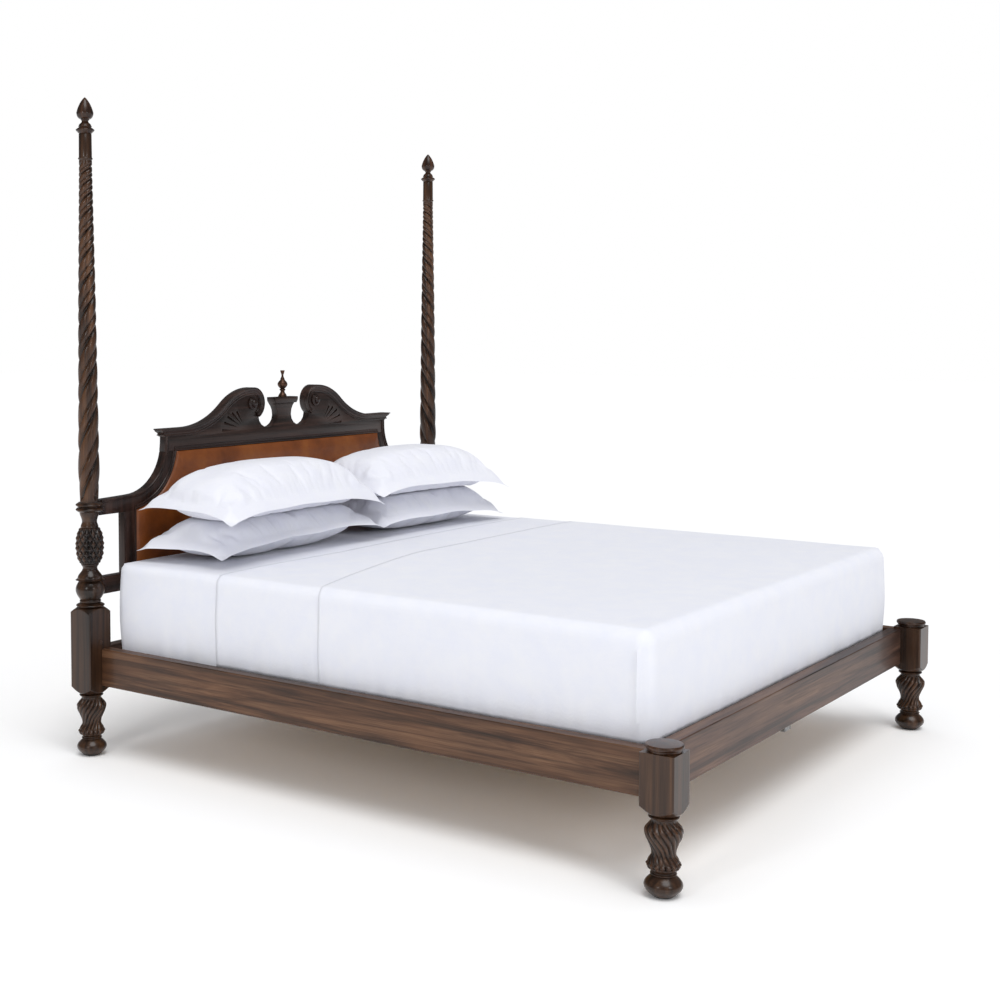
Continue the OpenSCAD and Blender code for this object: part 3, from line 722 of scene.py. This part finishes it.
# %% Carve the fans
pediment = board_piece("swan_neck_pediment", ease(board_copy("pediment_board"), 1.0), ["pediment_board"],
                       board_wood)
cutters = fan_cutters()
scene.collection.objects.link(cutters)
cut = pediment.modifiers.new("fans", "BOOLEAN")
cut.object = cutters
cut.operation = "DIFFERENCE"
cut.solver = "EXACT"
carved = bpy.data.meshes.new_from_object(pediment.evaluated_get(bpy.context.evaluated_depsgraph_get()))
pediment.modifiers.clear()
pediment.data = carved
bpy.data.objects.remove(cutters)
print("pediment faces:", len(carved.polygons))

# %% [markdown]
# ## Crown moulding and beads
# The crown runs along the S-curve, round the scroll, and returns at the ear. A
# joiner planes the profile and bends or carves it to the curve. In bmesh the
# profile is a closed face that is extruded from station to station, and each
# new ring is laid square to the curve. The crown's first two rings make the
# mitred return round the end of the board. The thin beads along the shoulders
# and round the leather are made the same way.

# %% Sweep a profile
def sweep(rings):
    """Extrudes a closed profile from ring to ring; a ring lists the profile's corners in order."""
    bm = bmesh.new()
    face = bm.faces.new([bm.verts.new(p) for p in rings[0]])
    for ring in rings[1:]:
        made = bmesh.ops.extrude_face_region(bm, geom=[face])
        old, face = face, next(g for g in made["geom"] if isinstance(g, bmesh.types.BMFace))
        for vert, place in zip(face.verts, ring):
            vert.co = place
        if old.is_valid:
            bm.faces.remove(old)
    bmesh.ops.holes_fill(bm, edges=[e for e in bm.edges if e.is_boundary], sides=0)
    return bm


def ring_at(station, profile, sign):
    """The profile, as (set-in from the edge, proud of the board), laid square to a curve."""
    x, z, nx, nz, share = station
    return [Vector((sign * (x + nx * d * share) * MM, board_front - p * MM, (z + nz * d * share) * MM))
            for d, p in profile]


def arc_stations(cx, cz, r, a0, a1, steps, inward):
    """Stations on an arc, in degrees; inward is 1 where the board lies outside the arc, and -1 inside it."""
    turns = [radians(a0 + (a1 - a0) * i / steps) for i in range(steps + 1)]
    return [(cx + r * cos(a), cz + r * sin(a), inward * cos(a), inward * sin(a), 1) for a in turns]


# %% The crown's profile and stations
CROWN = [(0, -1), (0, 11), (1, 12), (4, 12), (5, 10.2), (8, 9.8), (11, 8.8), (14, 6.6), (17, 4.8),
         (20, 4.2), (21.5, 4.2), (22, 5.4), (24, 6.2), (26, 5.4), (26.5, 3), (29, 2.6), (30, 1.6), (30, -1)]
CROWN_PROUD, EAR = 12, 32
BOARD_END, CROWN_Z = 666, 1118
RISE_X, RISE_R, RISE_A = 567, 340, 40
SCROLL_X, SCROLL_R = 193, 62
board_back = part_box("pediment_board")[1].y
crest_r = (RISE_X - RISE_R * sin(radians(RISE_A)) - SCROLL_X) / sin(radians(RISE_A))
scroll_top = CROWN_Z + (RISE_R + crest_r) * (1 - cos(radians(RISE_A)))
scroll_z = scroll_top - SCROLL_R


def crown_stations():
    """Along the top edge, from the board's end to the scroll, where the crown narrows."""
    stations = [(BOARD_END - 25 * i, CROWN_Z, 0, -1, 1) for i in range(4)]
    stations += arc_stations(RISE_X, CROWN_Z + RISE_R, RISE_R, 270, 270 - RISE_A, 24, 1)
    stations += arc_stations(SCROLL_X, scroll_top - crest_r, crest_r, 90 - RISE_A, 90, 20, -1)[1:]
    scroll = arc_stations(SCROLL_X, scroll_z, SCROLL_R, 90, 240, 36, -1)[1:]
    return stations + [(*s[:4], 1 - 0.27 * min(1, (i + 1) / 12)) for i, s in enumerate(scroll)]


# %% Crown moulding
def return_ring(sign, y):
    """The mitre and the return: the ear flares out as far as the profile is proud."""
    flare = EAR / CROWN_PROUD
    return [Vector((sign * (BOARD_END + max(0, p) * flare) * MM, board_front - p * MM if y is None else y,
                    (CROWN_Z - d) * MM)) for d, p in CROWN]


for side, sign in SIDES.items():
    rings = [return_ring(sign, board_back), return_ring(sign, None)]
    rings += [ring_at(s, CROWN, sign) for s in crown_stations()]
    board_piece("crown_moulding_" + side, sweep(rings), ["cornice_" + side], board_wood, 30)

# %% Beads on the shoulders and round the leather
OUTER_BEAD = [(0, -1), (0, 2.6), (1.5, 4.2), (4, 4.6), (6.5, 3.6), (7.5, 1),
              (11, 0.8), (12, 2.2), (14, 2.4), (15, 0.8), (15, -1)]
INNER_BEAD = [(0, -1), (0, 3.0), (1.5, 4.2), (4, 4.4), (6, 3.2), (7, 1),
              (11, 0.8), (12, 2.4), (14.5, 2.6), (16, 0.8), (16, -1)]
SHOULDER_X, SHOULDER_Z = 844, 1070
outer_r, inner_r = SHOULDER_X - BOARD_END, 232
stile_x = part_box("headboard_stile_right")[0].x / MM
panel_top, panel_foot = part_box("pediment_board")[0].z / MM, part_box("headboard_stile_right")[0].z / MM
wing_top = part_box("headboard_shoulder_right")[0].z / MM + 52
corner_a = 180 + math.degrees(math.asin((SHOULDER_Z - panel_top) / inner_r))
low_a = 270 - math.degrees(math.asin((SHOULDER_X - stile_x) / inner_r))
corner_x = SHOULDER_X + inner_r * cos(radians(corner_a))
for side, sign in SIDES.items():
    outer = [(BOARD_END, 1090, -1, 0, 1)]
    outer += arc_stations(SHOULDER_X, SHOULDER_Z, outer_r, 180, 270, 40, 1)
    outer.append((POST_EDGE / MM + 20, wing_top + 1, 0, -1, 1))
    bm = sweep([ring_at(s, OUTER_BEAD, sign) for s in outer])
    board_piece("shoulder_bead_" + side, bm, [], upright_wood, 30)
    inner = arc_stations(SHOULDER_X, SHOULDER_Z, inner_r, corner_a, low_a, 36, -1)
    inner.append((stile_x, panel_foot, 1, 0, 1))
    bm = sweep([ring_at(s, INNER_BEAD, sign) for s in inner])
    board_piece("panel_bead_" + side, bm, [], upright_wood, 30)
top_run = [(-corner_x - 8, panel_top, 0, 1, 1), (corner_x + 8, panel_top, 0, 1, 1)]
board_piece("panel_bead_top", sweep([ring_at(s, INNER_BEAD, 1) for s in top_run]), [], board_wood, 30)
print("crown and beads done")

# %% [markdown]
# ## Leather panel
# An upholsterer stretches leather over foam: it rolls over at the border and is
# nearly flat in the middle. A grid is squeezed to the panel's width at each
# height, and every point stands proud by a curve of its distance from the
# nearest edge. The rim is then extruded back behind the boards.

# %% Upholstered panel
PAD_RISE, PAD_ROLL, PAD_TUCK = 0.0195, 0.05, 0.006


def panel_half_width(z):
    """Half the leather's width at a height in mm: straight beside the stiles, then following the shoulder."""
    reach = inner_r ** 2 - (z - SHOULDER_Z) ** 2
    return min(stile_x, SHOULDER_X - math.sqrt(reach)) if reach > 0 else stile_x


def extrude(bm, rim, vec):
    """Extrudes edges by a vector and gives back the new rim."""
    made = bmesh.ops.extrude_edge_only(bm, edges=rim)["geom"]
    bmesh.ops.translate(bm, verts=[g for g in made if isinstance(g, bmesh.types.BMVert)], vec=vec)
    return [g for g in made if isinstance(g, bmesh.types.BMEdge)]


def padded_panel():
    bm = bmesh.new()
    bmesh.ops.create_grid(bm, x_segments=170, y_segments=64, size=0.5)
    for vert in bm.verts:
        u, v = 2 * vert.co.x, vert.co.y + 0.5
        u, v = sin(u * pi / 2) * 0.5 + u * 0.5, v - 0.1 * sin(2 * pi * v)
        z = panel_foot + (panel_top - panel_foot) * v
        half = panel_half_width(z)
        edge = min((1 - abs(u)) * half, z - panel_foot, panel_top - z) * MM
        t = min(1, edge / PAD_ROLL)
        proud = PAD_RISE * (0.72 * math.sqrt(1 - (1 - t) ** 2) + 0.28 * min(1, edge / 0.11))
        pull = 0.0012 * noise.noise(Vector((u * 9, v * 5, 2))) * t
        vert.co = Vector((u * half * MM, board_front - proud + pull, z * MM))
    rim = [e for e in bm.edges if e.is_boundary]
    extrude(bm, rim, (0, PAD_TUCK, 0))
    bmesh.ops.holes_fill(bm, edges=[e for e in bm.edges if e.is_boundary], sides=0)
    return bm


pad = finish_piece("leather_upholstery", padded_panel(), "bed_frame", ["leather_panel", "panel_foam"],
                   leather, 60)

# %% [markdown]
# ## Mattress and covers
# A made bed is a soft block under stretched cloth. Each layer starts as a flat
# grid, its rim is extruded down the sides in small steps, and then every point
# is pushed onto a block with round corners and a round top edge. The sides
# swell between the rails and the top, and folds are added last, as cloth would
# have them: soft swells on top and short puckers where the covers are tucked
# in behind the rails.

# %% Layer builder
CORNER_R, EDGE_R = 0.038, 0.028
CELL = 0.0125
bed_low, bed_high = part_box("mattress")


def to_disc(a, b):
    """A point of the unit square, moved into the unit disc, so that a square corner becomes round."""
    return a * math.sqrt(1 - b * b / 2), b * math.sqrt(1 - a * a / 2)


def layer(y_end, drop, skirt_at_head):
    """A flat grid over the mattress up to y_end, with skirts of that drop."""
    nx = round((bed_high.x - bed_low.x) / CELL)
    ny = round((y_end - bed_low.y) / CELL)
    bm = bmesh.new()
    bmesh.ops.create_grid(bm, x_segments=nx, y_segments=ny, size=0.5)
    bmesh.ops.scale(bm, verts=bm.verts, vec=(bed_high.x - bed_low.x, y_end - bed_low.y, 1))
    bmesh.ops.translate(bm, verts=bm.verts, vec=(0, (y_end + bed_low.y) / 2, bed_high.z))
    rim = [e for e in bm.edges if e.is_boundary
           and (skirt_at_head or min(v.co.y for v in e.verts) < y_end - CELL / 2)]
    if not skirt_at_head:
        rim = [e for e in rim if not all(abs(v.co.y - y_end) < 1e-6 for v in e.verts)]
    for _ in range(round(drop / CELL)):
        rim = extrude(bm, rim, (0, 0, -CELL))
    return bm


# %% Wrap a layer round the soft block
def wrapped(point, grow, soft):
    """A point of the sharp block, moved onto the soft block that is grow thicker."""
    half_x = bed_high.x
    mid_y, half_y = (bed_low.y + bed_high.y) / 2, (bed_high.y - bed_low.y) / 2
    x, y, z = point.x, point.y - mid_y, point.z
    inset = min(half_x - abs(x), half_y - abs(y))
    down = bed_high.z - z
    if inset < EDGE_R and down < EDGE_R:
        a, b = to_disc(1 - max(0, inset) / EDGE_R, 1 - down / EDGE_R)
        pull, down = EDGE_R * (1 - a) - max(0, inset), EDGE_R * (1 - b)
    else:
        pull = 0
    out = Vector((0, 0, 0))
    cx, cy = abs(x) - (half_x - CORNER_R), abs(y) - (half_y - CORNER_R)
    if cx > 0 and cy > 0:
        a, b = to_disc(min(1, cx / CORNER_R), min(1, cy / CORNER_R))
        x = math.copysign(half_x - CORNER_R + CORNER_R * a, x)
        y = math.copysign(half_y - CORNER_R + CORNER_R * b, y)
        out = Vector((math.copysign(a, x), math.copysign(b, y), 0)).normalized()
    elif inset < EDGE_R and half_x - abs(x) < half_y - abs(y):
        out = Vector((math.copysign(1, x), 0, 0))
    elif inset < EDGE_R:
        out = Vector((0, math.copysign(1, y), 0))
    side = max(0.0, min(1.0, down / EDGE_R))
    swell = soft * sin(pi * min(1, max(0, down - EDGE_R) / 0.27)) if inset < 1e-5 else 0
    height = bed_high.z - down + grow * (1 - side) + 0.0035 * (1 - side) * min(1, inset / 0.3)
    place = Vector((x, y, 0)) + out * (grow * side + swell - pull)
    return Vector((place.x, place.y + mid_y, height)), out, side


# %% Folds
def folds(place, out, side, seed, size):
    """Cloth's unevenness: broad swells everywhere, and puckers near the tucked-in edge."""
    p = place * 2.6 + Vector((seed, seed * 2.1, 0))
    broad = noise.noise(p) * 0.6 + noise.noise(p * 2.7) * 0.3
    along = place.y if abs(out.x) > abs(out.y) else place.x
    tuck = max(0.0, min(1.0, (0.52 - place.z) / 0.14)) * side
    pucker = noise.noise(Vector((along * 26, seed, place.z * 3))) * tuck
    lean_fold = noise.noise(Vector((along * 7 + place.z * 9, seed + 5, place.z * 2))) * side
    push = size * (broad + 1.1 * pucker + 0.7 * lean_fold)
    return out * push + Vector((0, 0, (1 - side) * size * 0.8 * broad))


FOLD_AT, FOLD_PROUD = 2 * CELL, 0.011
RAIL_CLEAR = 0.385


def corner_fold(blank, place, out, side):
    """Where the foot end is folded in under the side, the side lies proud and ends in an upright hem."""
    past = blank.y - bed_low.y - FOLD_AT
    if past < -1.5 * CELL or bed_high.x - abs(blank.x) > 1e-5:
        return Vector((0, 0, 0))
    clear = max(0.0, min(1.0, (place.z - RAIL_CLEAR) / 0.05))
    clear *= max(0.0, min(1.0, (bed_high.z - 0.01 - place.z) / 0.05))
    hem = -0.35 if past < -CELL / 2 else 1 if past < CELL / 2 else 0.4
    return out * FOLD_PROUD * hem * side * clear * math.exp(-max(0, past) / 0.15)


def dress(bm, grow, soft, seed, size, bend=None):
    for vert in bm.verts:
        place, out, side = wrapped(vert.co, grow, soft)
        place += folds(place, out, side, seed, size)
        if bend:
            place += corner_fold(vert.co, place, out, side)
        if bend:
            place.y = bend(place)
        vert.co = place
    return bm


# %% Fitted sheet over the mattress
MATTRESS_DROP = bed_high.z - bed_low.z
SIDE_SWELL, FOLD_SEED, FOLD_SIZE = 0.006, 3.0, 0.0028
mattress_bm = layer(bed_high.y, MATTRESS_DROP - 0.001, True)
bmesh.ops.holes_fill(mattress_bm, edges=[e for e in mattress_bm.edges if e.is_boundary], sides=0)
dress(mattress_bm, 0, SIDE_SWELL, FOLD_SEED, FOLD_SIZE)
mattress = finish_piece("fitted_sheet_and_mattress", mattress_bm, "made_up_mattress", ["mattress"],
                        sheet_linen, 70)

# %% Top sheet and coverlet
TUCK = 0.006
top_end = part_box("top_sheet")[1].y
cover_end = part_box("coverlet")[1].y
cover_drop = MATTRESS_DROP - TUCK


def coverlet_bend(place):
    """The coverlet was pulled up by hand: its edge lies aslant and bows towards the head."""
    t = (place.y - bed_low.y) / (cover_end - bed_low.y)
    x = place.x / bed_high.x
    slant = 0.105 - 0.22 * max(0, -x - 0.15) ** 1.3
    return place.y + max(0, t) ** 3 * slant * min(1, max(0, t))


def sheet_bend(place):
    t = max(0, (place.y - bed_low.y) / (top_end - bed_low.y))
    return place.y + t ** 3 * 0.006 * sin(place.x * 5)


def make_cover(name, node, y_end, grow, thick, bend, material):
    bm = dress(layer(y_end, cover_drop, False), grow, SIDE_SWELL, FOLD_SEED, FOLD_SIZE, bend)
    piece = finish_piece(name, bm, "made_up_mattress", [node], material, 70)
    shell = piece.modifiers.new("cloth_thickness", "SOLIDIFY")
    shell.thickness = thick
    shell.offset = -1


make_cover("top_sheet_cloth", "top_sheet", top_end, 0.0028, 0.0014, sheet_bend, sheet_linen)
make_cover("coverlet_cloth", "coverlet", cover_end, 0.0062, 0.0022, coverlet_bend,
           cover_linen)
print("bedding layers done")

# %% [markdown]
# ## Pillows
# Each pillow has a flat flange all round and a stuffed body inside a stitched
# line. Front and back are two grids that meet at the rim. The body is blown up
# by a short cloth simulation with the flange held still, on cloth cut a little
# too big, which gives the puckers along the stitches. Then the pillow is laid
# in place: its underside flattens, its flange droops, and it leans on the
# pillow below.

# %% Pillow blank
FLANGE, PILLOW_CELL = 0.042, 0.0105


def pillow_blank(width, depth, crown):
    nx, ny = round(width / PILLOW_CELL), round(depth / PILLOW_CELL)
    bm = bmesh.new()
    bmesh.ops.create_grid(bm, x_segments=nx, y_segments=ny, size=0.5)
    bmesh.ops.scale(bm, verts=bm.verts, vec=(width, depth, 1))
    twin = bmesh.ops.duplicate(bm, geom=bm.verts[:] + bm.edges[:] + bm.faces[:])
    under = {g for g in twin["geom"] if isinstance(g, bmesh.types.BMVert)}
    body_x, body_y = width / 2 - FLANGE, depth / 2 - FLANGE
    for vert in bm.verts:
        u, v = abs(vert.co.x) / body_x, abs(vert.co.y) / body_y
        rim = max(abs(vert.co.x) - width / 2, abs(vert.co.y) - depth / 2)
        if u < 1 and v < 1:
            lift = 0.0012 + crown * ((1 - u ** 3.2) * (1 - v ** 2.6)) ** 0.55
        else:
            lift = 0.0012 if rim < -1e-6 else 0
        vert.co.z = -lift if vert in under else lift
    bmesh.ops.reverse_faces(bm, faces=[f for f in bm.faces if all(v in under for v in f.verts)])
    bmesh.ops.remove_doubles(bm, verts=bm.verts, dist=1e-5)
    return bm


# %% Blow the pillow up
def blow_up(bm, width, depth):
    """A short cloth simulation with pressure inside; the flange is pinned."""
    mesh = bpy.data.meshes.new("pillow_blank")
    bm.to_mesh(mesh)
    start = [v.co.copy() for v in mesh.vertices]
    ghost = bpy.data.objects.new("pillow_blank", mesh)
    scene.collection.objects.link(ghost)
    pins = ghost.vertex_groups.new(name="flange")
    body_x, body_y = width / 2 - FLANGE, depth / 2 - FLANGE
    pins.add([v.index for v in mesh.vertices if abs(v.co.x) > body_x or abs(v.co.y) > body_y], 1, "REPLACE")
    cloth = ghost.modifiers.new("cloth", "CLOTH")
    cloth.settings.vertex_group_mass = "flange"
    cloth.settings.use_pressure = True
    cloth.settings.uniform_pressure_force = 4.5
    cloth.settings.effector_weights.gravity = 0
    cloth.settings.shrink_min = -0.045
    cloth.settings.bending_stiffness = 0.25
    cloth.settings.quality = 5
    cloth.point_cache.frame_start, cloth.point_cache.frame_end = 1, 18
    for step in range(1, 19):
        scene.frame_set(step)
    blown = bpy.data.meshes.new_from_object(ghost.evaluated_get(bpy.context.evaluated_depsgraph_get()))
    scene.frame_set(1)
    bpy.data.objects.remove(ghost)
    bm.verts.ensure_lookup_table()
    for vert, old, new in zip(bm.verts, start, blown.vertices):
        move = new.co - old
        if move.length > 0.02:
            move *= 0.02 / move.length
        vert.co = old + move
    return bm


# %% Lay a pillow in place
def lay(bm, width, depth, corners, height, droop, below, above, seed):
    """Flattens the pillow where it rests, lets the flange and the corners hang, and moves it into place."""
    body_x, body_y = width / 2 - FLANGE, depth / 2 - FLANGE
    for vert in bm.verts:
        x, y, z = vert.co
        past_x, past_y = max(0, abs(x) - body_x) / FLANGE, max(0, abs(y) - body_y) / FLANGE
        past = min(1, past_x + past_y)
        u, v = x / (width / 2), y / (depth / 2)
        if z > above:
            z = above + (z - above) * 0.15
        if z < -below:
            z = -below + (z + below) * 0.05
        wave = noise.noise(Vector((x * 6 + seed, y * 6, seed)))
        hang = 0.030 * past + 0.006 * wave * past
        corner = (abs(u) ** 5) * (abs(v) ** 4)
        sag = droop * (0.5 * abs(u) ** 3 + 0.25 * abs(v) ** 3 + 0.22 * corner)
        full = max(0, 1 - past)
        crease = noise.noise(Vector((x * 4 + 3 * seed, y * 11, seed + 7))) * 0.6
        crease += noise.noise(Vector((x * 13 + y * 9, seed, 2))) * 0.25 * abs(u)
        waist_x = 1 - 0.03 * (1 - v * v) * max(0, abs(u) - 0.5) * 2
        waist_y = 1 - 0.032 * (1 - u * u) * abs(v)
        u, v = u * waist_x, v * waist_y
        front_left, front_right, back_left, back_right = (Vector(c) for c in corners)
        front, back = front_left.lerp(front_right, (u + 1) / 2), back_left.lerp(back_right, (u + 1) / 2)
        spot = front.lerp(back, (v + 1) / 2)
        rim = max(abs(u), abs(v)) ** 3
        lifted = spot.z * rim + z - hang - sag + 0.006 * crease * full * (z > 0)
        vert.co = Vector((spot.x, spot.y, height + lifted))
    return bm


# %% Four pillows
# Corners in the order front left, front right, back left, back right, each with its own lift; then the
# width, depth, height of the stitched line, crown, droop, resting depth, flat top and seed.
PILLOWS = {
    "lower_left": (((-0.880, 0.600, 0.012), (0.035, 0.595, 0.037),
                    (-0.905, 0.990, 0.015), (-0.020, 1.000, 0.027)),
                   0.93, 0.40, 0.758, 0.062, 0.04, 0.084, 0.061, 11.0),
    "lower_right": (((0.045, 0.610, 0.022), (0.880, 0.582, 0.003),
                     (0.040, 0.990, 0.027), (0.890, 0.985, 0.017)),
                    0.85, 0.42, 0.758, 0.062, 0.04, 0.084, 0.061, 12.0),
    "upper_left": (((-0.936, 0.505, 0.008), (0.045, 0.594, -0.016),
                    (-0.885, 1.000, 0.018), (0.020, 1.010, 0.022)),
                   0.95, 0.46, 0.902, 0.083, 0.05, 0.071, 0.2, 13.0),
    "upper_right": (((0.025, 0.595, 0.014), (0.850, 0.535, -0.012),
                     (0.010, 1.010, 0.027), (0.885, 1.000, 0.012)),
                    0.86, 0.45, 0.898, 0.082, 0.05, 0.068, 0.2, 14.0),
}
for where, (corners, width, depth, height, crown_up, droop, below, above, seed) in PILLOWS.items():
    bm = pillow_blank(width, depth, crown_up)
    bm = blow_up(bm, width, depth)
    lay(bm, width, depth, corners, height, droop, below, above, seed)
    pillow = finish_piece(where + "_pillow_case", bm, where + "_pillow", ["pillow_" + where],
                          pillow_linen, 80)
    smooth = pillow.modifiers.new("soften", "SUBSURF")
    smooth.levels = smooth.render_levels = 1
print("pillows done")

# %% [markdown]
# ## Box springs
# Two low box springs lie on the slats under the mattress. Only their ends ever
# show, when the mattress is lifted, so a clean copy of the CAD solid with a
# rounded, slightly puffed edge is enough.

# %% Box springs
for side in SIDES:
    spring = ease(board_copy("box_spring_" + side), 6, 60)
    piece = finish_piece("box_spring_cover_" + side, spring, "bed_frame", ["box_spring_" + side],
                         ticking, 50)
